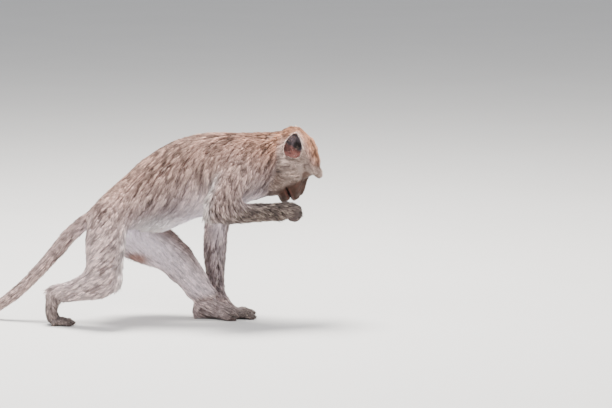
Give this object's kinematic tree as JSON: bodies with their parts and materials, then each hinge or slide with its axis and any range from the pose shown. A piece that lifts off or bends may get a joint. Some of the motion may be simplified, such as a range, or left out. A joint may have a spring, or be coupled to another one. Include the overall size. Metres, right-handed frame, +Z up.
{
  "type": "long-tailed macaque monkey",
  "caption": "Life-size still model of a long-tailed macaque walking on one hand and both feet, with the other hand raised to its lowered mouth.",
  "frame": {"origin": "on the floor under the middle of the bounding box", "axes": "+X toward the animal's head, +Y toward its left, +Z up"},
  "size_m": [0.8584, 0.2052, 0.365],
  "materials": {
    "coat_back": "short dense grizzled grey-brown coat",
    "coat_limb": "short grey-brown coat with pale hair tips",
    "coat_pale": "short pale grey-brown coat",
    "bare_skin": "bare or thinly haired dark skin of hands and feet",
    "ear_skin": "thin bare skin, pinkish brown to dark grey",
    "eye": "wet dark brown eye"
  },
  "bodies": {
    "root": {"head": "coat_pale", "neck": "coat_back", "chest": "coat_back", "belly": "coat_back", "pelvis": "coat_back", "tail_1": "coat_limb", "tail_2": "coat_limb", "tail_3": "coat_limb", "tail_4": "coat_limb", "tail_5": "coat_limb", "right_upper_arm": "coat_limb", "right_forearm": "coat_limb", "right_hand": "bare_skin", "right_thigh": "coat_pale", "right_shank": "coat_pale", "right_foot": "bare_skin", "ear_right": "ear_skin", "eye_right": "eye", "left_upper_arm": "coat_limb", "left_forearm": "coat_limb", "left_hand": "bare_skin", "left_thigh": "coat_pale", "left_shank": "coat_pale", "left_foot": "bare_skin", "ear_left": "ear_skin", "eye_left": "eye"}
  },
  "joints": []
}
